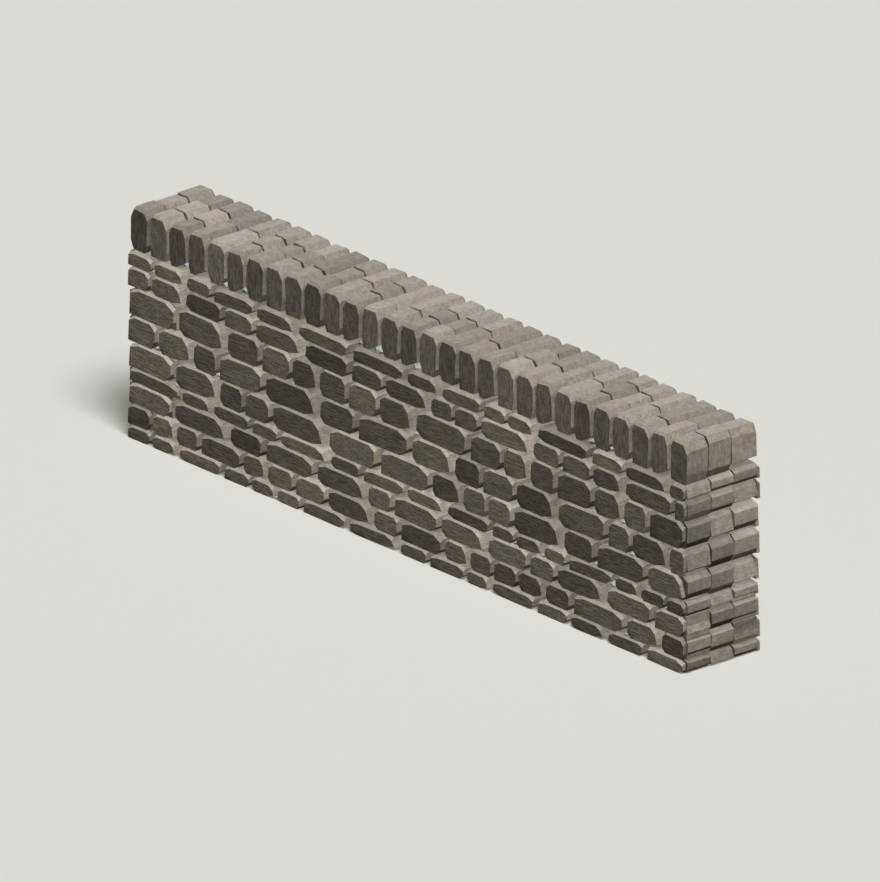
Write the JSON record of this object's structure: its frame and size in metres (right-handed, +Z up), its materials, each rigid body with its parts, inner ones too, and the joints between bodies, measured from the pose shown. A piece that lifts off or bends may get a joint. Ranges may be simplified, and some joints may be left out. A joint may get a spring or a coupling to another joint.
{
  "type": "dry stone wall",
  "caption": "Free-standing dry stone wall: two faces of coursed stones over rubble hearting, blocks across each end, and cope stones set on edge along the top.",
  "frame": {"origin": "centre of the base, on the ground", "axes": "+X along the wall, +Y from the front face to the back face, +Z up"},
  "size_m": [3.994, 0.48, 1.167],
  "materials": {
    "walling_stone": "riven sandstone, weathered grey-brown with lichen and moss near the joints",
    "cope_stone": "riven sandstone set on edge, weathered and paler on top",
    "hearting_rubble": "small broken stone packed dry, pale grey"
  },
  "bodies": {
    "root": {"front_course_1": "walling_stone", "front_course_2": "walling_stone", "front_course_3": "walling_stone", "front_course_4": "walling_stone", "front_course_5": "walling_stone", "front_course_6": "walling_stone", "front_course_7": "walling_stone", "front_course_8": "walling_stone", "front_course_9": "walling_stone", "back_course_1": "walling_stone", "back_course_2": "walling_stone", "back_course_3": "walling_stone", "back_course_4": "walling_stone", "back_course_5": "walling_stone", "back_course_6": "walling_stone", "back_course_7": "walling_stone", "back_course_8": "walling_stone", "back_course_9": "walling_stone", "right_end_course_1": "walling_stone", "right_end_course_2": "walling_stone", "right_end_course_3": "walling_stone", "right_end_course_4": "walling_stone", "right_end_course_5": "walling_stone", "right_end_course_6": "walling_stone", "right_end_course_7": "walling_stone", "right_end_course_8": "walling_stone", "right_end_course_9": "walling_stone", "left_end_course_1": "walling_stone", "left_end_course_2": "walling_stone", "left_end_course_3": "walling_stone", "left_end_course_4": "walling_stone", "left_end_course_5": "walling_stone", "left_end_course_6": "walling_stone", "left_end_course_7": "walling_stone", "left_end_course_8": "walling_stone", "left_end_course_9": "walling_stone", "hearting": "hearting_rubble", "cope_front": "cope_stone", "cope_middle": "cope_stone", "cope_back": "cope_stone"}
  },
  "joints": []
}
